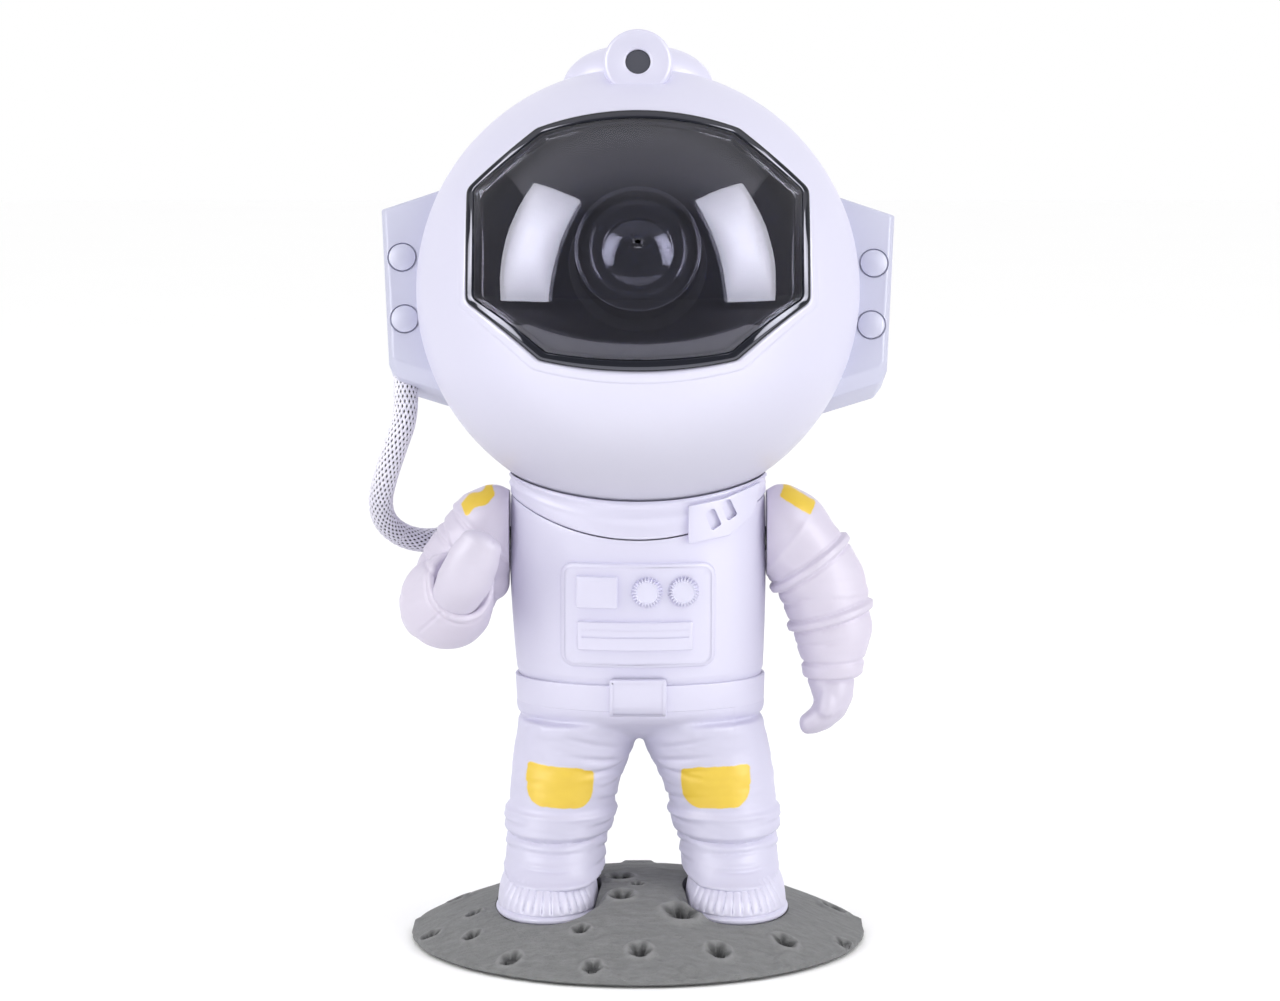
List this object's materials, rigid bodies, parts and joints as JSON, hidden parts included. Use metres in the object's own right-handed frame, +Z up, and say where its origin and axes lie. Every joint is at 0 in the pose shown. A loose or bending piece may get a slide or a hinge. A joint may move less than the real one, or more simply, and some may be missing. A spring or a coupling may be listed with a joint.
{
  "type": "planetarium projector",
  "caption": "Table-top star and galaxy projector shaped like an astronaut on a cratered base, with a magnetic ball head, visor lens, crest lamp and jointed arms.",
  "frame": {"origin": "centre of the round base's underside, on the table", "axes": "+Z up, the figure faces -Y, +X to the figure's left (the viewer's right)"},
  "size_m": [0.132, 0.115, 0.2274],
  "materials": {
    "white_plastic": "satin moulded ABS, white with a slight lavender tint",
    "grey_plastic": "fine matt light grey",
    "moon_grey": "matt textured grey",
    "visor_smoke": "glossy smoked acrylic",
    "black_plastic": "matt black",
    "clear_lens": "clear polished",
    "steel": "zinc plated",
    "magnet": "nickel plated",
    "alu": "machined",
    "brass": "turned",
    "rubber": "soft black",
    "board_green": "solder mask",
    "led_yellow": "phosphor",
    "hose_braid": "white woven sleeve over a flexible tube"
  },
  "bodies": {
    "base": {"moon_base": "moon_grey", "base_plate": "black_plastic", "base_feet": "rubber", "base_screws": "steel", "boot_pegs": "white_plastic"},
    "figure": {"torso_front": "white_plastic", "torso_rear": "white_plastic", "body_screws": "steel", "collar_ring": "white_plastic", "collar_clasp": "white_plastic", "neck_seat": "white_plastic", "neck_magnet": "magnet", "belt": "white_plastic", "belt_buckle": "white_plastic", "chest_panel": "white_plastic", "panel_knobs": "white_plastic", "backpack": "white_plastic", "pack_ferrule": "grey_plastic", "left_leg": "white_plastic", "right_leg": "white_plastic", "left_boot": "white_plastic", "right_boot": "white_plastic", "hose_lower": "hose_braid"},
    "left_arm": {"left_arm": "white_plastic", "left_hand": "white_plastic", "left_pin": "steel"},
    "right_arm": {"right_arm": "white_plastic", "right_hand": "white_plastic", "right_pin": "steel"},
    "head_swivel": {"swivel_ring": "white_plastic"},
    "head": {"helmet_front": "white_plastic", "helmet_rear": "white_plastic", "helmet_screws": "steel", "visor": "visor_smoke", "visor_bezel": "black_plastic", "inner_mask": "black_plastic", "lens_barrel": "black_plastic", "projection_lens": "clear_lens", "led_board": "board_green", "led_emitters": "led_yellow", "condenser_lens": "clear_lens", "heat_sink": "alu", "ripple_motor": "steel", "lamp_housing": "white_plastic", "lamp_face": "white_plastic", "lamp_window": "visor_smoke", "laser_module": "brass", "ear_pod_left": "grey_plastic", "ear_pod_right": "grey_plastic", "pod_ferrule": "grey_plastic", "ear_studs": "grey_plastic", "main_board": "board_green", "usb_socket": "steel", "tact_switches": "black_plastic", "keeper_plate": "steel", "hose_upper": "hose_braid"},
    "ripple_disc": {"ripple_disc": "clear_lens"},
    "ripple_pinion": {"ripple_pinion": "black_plastic"},
    "power_button": {"power_button": "grey_plastic"},
    "mode_button": {"mode_button": "grey_plastic"}
  },
  "joints": [
    {"name": "figure_lift", "type": "slide", "parent": "base", "child": "figure", "axis": [0, 0, 1], "range_m": [0, 0.025]},
    {"name": "left_shoulder", "type": "hinge", "parent": "figure", "child": "left_arm", "pos_m": [0.0323, 0, 0.101], "axis": [1, 0, 0], "range_deg": [-80, 30]},
    {"name": "right_shoulder", "type": "hinge", "parent": "figure", "child": "right_arm", "pos_m": [-0.0323, 0, 0.101], "axis": [1, 0, 0], "range_deg": [-10, 45]},
    {"name": "head_turn", "type": "hinge", "parent": "figure", "child": "head_swivel", "pos_m": [0, 0, 0.1], "axis": [0, 0, 1], "range_deg": [-20, 20], "deforming": ["hose_lower"]},
    {"name": "head_nod", "type": "hinge", "parent": "head_swivel", "child": "head", "pos_m": [0, 0, 0.163], "axis": [1, 0, 0], "range_deg": [-15, 15], "deforming": ["hose_upper"]},
    {"name": "disc_spin", "type": "hinge", "parent": "head", "child": "ripple_disc", "pos_m": [0, -0.02028, 0.16844], "axis": [0, -0.9659, 0.2588], "continuous": true},
    {"name": "pinion_spin", "type": "hinge", "parent": "head", "child": "ripple_pinion", "pos_m": [0.01536, -0.02426, 0.1536], "axis": [0, -0.9659, 0.2588], "continuous": true},
    {"name": "power_press", "type": "slide", "parent": "head", "child": "power_button", "axis": [0, -0.9659, 0.2588], "range_m": [0, 0.0008], "stiffness_N_per_m": 300, "springref_m": -0.0003},
    {"name": "mode_press", "type": "slide", "parent": "head", "child": "mode_button", "axis": [0, -0.9659, 0.2588], "range_m": [0, 0.0008], "stiffness_N_per_m": 300, "springref_m": -0.0003}
  ],
  "couplings": [
    {"joint": "pinion_spin", "follows": "disc_spin", "ratio": -5}
  ]
}
